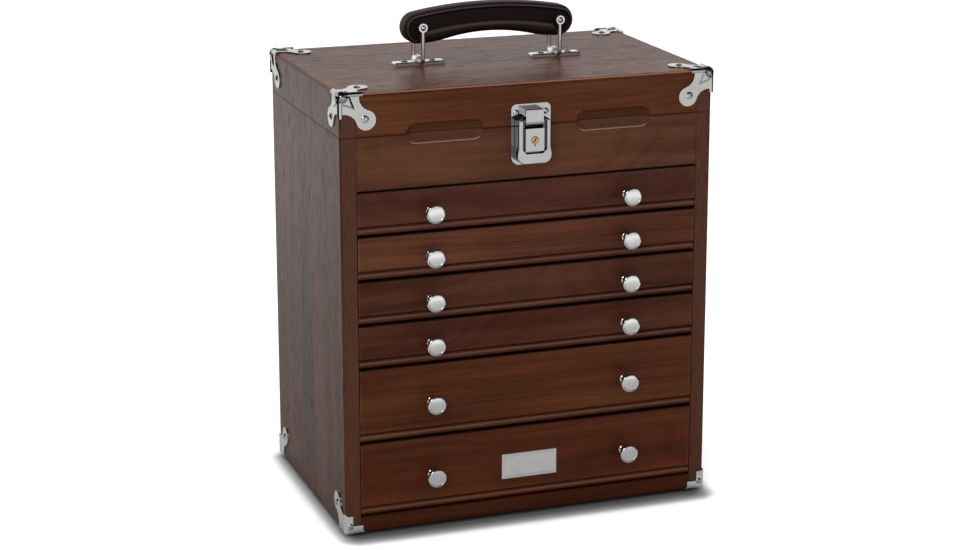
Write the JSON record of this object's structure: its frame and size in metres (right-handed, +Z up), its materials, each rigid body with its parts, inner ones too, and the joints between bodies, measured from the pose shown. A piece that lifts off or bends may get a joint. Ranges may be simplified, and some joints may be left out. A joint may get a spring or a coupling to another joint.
{
  "type": "collectors drawer chest",
  "caption": "Lidded walnut chest with a till over a stack of shallow and deep drawers, metal corners, a locking hasp and a folding carrying handle.",
  "frame": {"origin": "centre of the bounding box in X and Y, on the plane that the feet stand on", "axes": "+Z up, +X to the right as seen from the front, the front with the drawers faces -Y"},
  "size_m": [0.3734, 0.2628, 0.4823],
  "materials": {
    "walnut_case": "satin lacquered walnut",
    "walnut_fronts": "satin lacquered walnut",
    "drawer_wood": "plain sealed hardwood",
    "felt": "short felt",
    "polished_nickel": "polished",
    "corner_nickel": "polished",
    "latch_nickel": "polished and satin",
    "fitting_nickel": "polished",
    "plate_satin": "satin",
    "lock_brass": "turned",
    "foot_rubber": "matt",
    "grip_leather": "smooth"
  },
  "bodies": {
    "case": {"side_left": "walnut_case", "side_right": "walnut_case", "back_panel": "walnut_case", "bottom_panel": "walnut_case", "bottom_rail": "walnut_case", "tray_front": "walnut_case", "till_floor": "felt", "drawer_runners": "drawer_wood", "rubber_feet": "foot_rubber", "case_screws": "fitting_nickel", "hinge_case_leaves": "fitting_nickel", "latch_base_plate": "latch_nickel", "corner_bottom_front_left": "corner_nickel", "corner_bottom_front_right": "corner_nickel", "corner_bottom_rear_left": "corner_nickel", "corner_bottom_rear_right": "corner_nickel"},
    "lid": {"lid_top": "walnut_case", "lid_front_rail": "walnut_case", "lid_back_rail": "walnut_case", "lid_left_rail": "walnut_case", "lid_right_rail": "walnut_case", "lid_lining": "felt", "lid_screws": "fitting_nickel", "strike_plate": "latch_nickel", "handle_saddles": "fitting_nickel", "hinge_lid_leaves": "fitting_nickel", "corner_top_front_left": "corner_nickel", "corner_top_front_right": "corner_nickel", "corner_top_rear_left": "corner_nickel", "corner_top_rear_right": "corner_nickel"},
    "hasp": {"hasp": "latch_nickel"},
    "lock": {"lock_cylinder": "lock_brass"},
    "bail_left": {"bail_left": "fitting_nickel"},
    "bail_right": {"bail_right": "fitting_nickel"},
    "grip": {"grip": "grip_leather"},
    "drawer_1": {"drawer_1_front": "walnut_fronts", "drawer_1_walls": "drawer_wood", "drawer_1_bottom": "felt", "drawer_1_knobs": "polished_nickel"},
    "drawer_2": {"drawer_2_front": "walnut_fronts", "drawer_2_walls": "drawer_wood", "drawer_2_bottom": "felt", "drawer_2_knobs": "polished_nickel"},
    "drawer_3": {"drawer_3_front": "walnut_fronts", "drawer_3_walls": "drawer_wood", "drawer_3_bottom": "felt", "drawer_3_knobs": "polished_nickel"},
    "drawer_4": {"drawer_4_front": "walnut_fronts", "drawer_4_walls": "drawer_wood", "drawer_4_bottom": "felt", "drawer_4_knobs": "polished_nickel"},
    "drawer_5": {"drawer_5_front": "walnut_fronts", "drawer_5_walls": "drawer_wood", "drawer_5_bottom": "felt", "drawer_5_knobs": "polished_nickel"},
    "drawer_6": {"drawer_6_front": "walnut_fronts", "drawer_6_walls": "drawer_wood", "drawer_6_bottom": "felt", "drawer_6_knobs": "polished_nickel", "nameplate": "plate_satin"}
  },
  "joints": [
    {"name": "lid_hinge", "type": "hinge", "parent": "case", "child": "lid", "pos_m": [0, 0.12865, 0.38425], "axis": [-1, 0, 0], "range_deg": [0, 100]},
    {"name": "hasp_hinge", "type": "hinge", "parent": "lid", "child": "hasp", "pos_m": [0, -0.12145, 0.3895], "axis": [-1, 0, 0], "range_deg": [0, 90]},
    {"name": "lock_turn", "type": "hinge", "parent": "hasp", "child": "lock", "pos_m": [0, -0.12645, 0.3724], "axis": [0, 1, 0], "range_deg": [0, 90]},
    {"name": "bail_left_hinge", "type": "hinge", "parent": "lid", "child": "bail_left", "pos_m": [-0.07, 0.00555, 0.4282], "axis": [0, 1, 0], "range_deg": [-55, 55]},
    {"name": "bail_right_hinge", "type": "hinge", "parent": "lid", "child": "bail_right", "pos_m": [0.07, 0.00555, 0.4282], "axis": [0, 1, 0], "range_deg": [-55, 55]},
    {"name": "grip_pivot", "type": "hinge", "parent": "bail_left", "child": "grip", "pos_m": [-0.07, 0.00555, 0.4623], "axis": [0, 1, 0], "range_deg": [-55, 55]},
    {"name": "drawer_1_slide", "type": "slide", "parent": "case", "child": "drawer_1", "axis": [0, -1, 0], "range_m": [0, 0.17]},
    {"name": "drawer_2_slide", "type": "slide", "parent": "case", "child": "drawer_2", "axis": [0, -1, 0], "range_m": [0, 0.17]},
    {"name": "drawer_3_slide", "type": "slide", "parent": "case", "child": "drawer_3", "axis": [0, -1, 0], "range_m": [0, 0.17]},
    {"name": "drawer_4_slide", "type": "slide", "parent": "case", "child": "drawer_4", "axis": [0, -1, 0], "range_m": [0, 0.17]},
    {"name": "drawer_5_slide", "type": "slide", "parent": "case", "child": "drawer_5", "axis": [0, -1, 0], "range_m": [0, 0.17]},
    {"name": "drawer_6_slide", "type": "slide", "parent": "case", "child": "drawer_6", "axis": [0, -1, 0], "range_m": [0, 0.17]}
  ],
  "couplings": [
    {"joint": "bail_right_hinge", "follows": "bail_left_hinge", "ratio": 1},
    {"joint": "grip_pivot", "follows": "bail_left_hinge", "ratio": -1}
  ]
}
